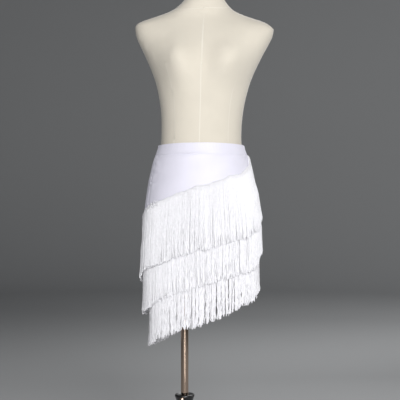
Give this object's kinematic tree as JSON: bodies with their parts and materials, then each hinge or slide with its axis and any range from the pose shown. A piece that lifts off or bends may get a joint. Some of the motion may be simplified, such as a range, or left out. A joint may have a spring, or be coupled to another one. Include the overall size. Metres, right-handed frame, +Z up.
{
  "type": "latin dance skirt on a limbless dress form with a pole stand",
  "caption": "Short stretch-knit latin dance skirt with slanting rows of long cord fringe, shown on a limbless dress form whose pole slides and turns in a weighted round stand",
  "frame": {"origin": "centre of the base plate's underside, on the axis of the pole", "axes": "+Z up along the pole, -Y to the front of the dress form, +X to the left side of its body"},
  "size_m": [0.4178, 0.32, 1.458],
  "materials": {
    "form_jersey": "matte",
    "skirt_knit": "satin",
    "fringe_cord": "satin",
    "champagne_metal": "polished",
    "black_lacquer": "gloss"
  },
  "bodies": {
    "stand": {"base_plate": "black_lacquer", "outer_tube": "champagne_metal", "collar": "black_lacquer", "clamp_screw": "champagne_metal"},
    "pole": {"pole": "champagne_metal"},
    "form": {"form_torso": "form_jersey", "waistband": "skirt_knit", "skirt_front": "skirt_knit", "skirt_back": "skirt_knit", "fringe_top": "fringe_cord", "fringe_middle": "fringe_cord", "fringe_bottom": "fringe_cord"}
  },
  "joints": [
    {"name": "height_slide", "type": "slide", "parent": "stand", "child": "pole", "axis": [0, 0, 1], "range_m": [-0.035, 0.12]},
    {"name": "form_swivel", "type": "hinge", "parent": "pole", "child": "form", "pos_m": [0, 0, 0.7], "axis": [0, 0, 1], "continuous": true}
  ]
}
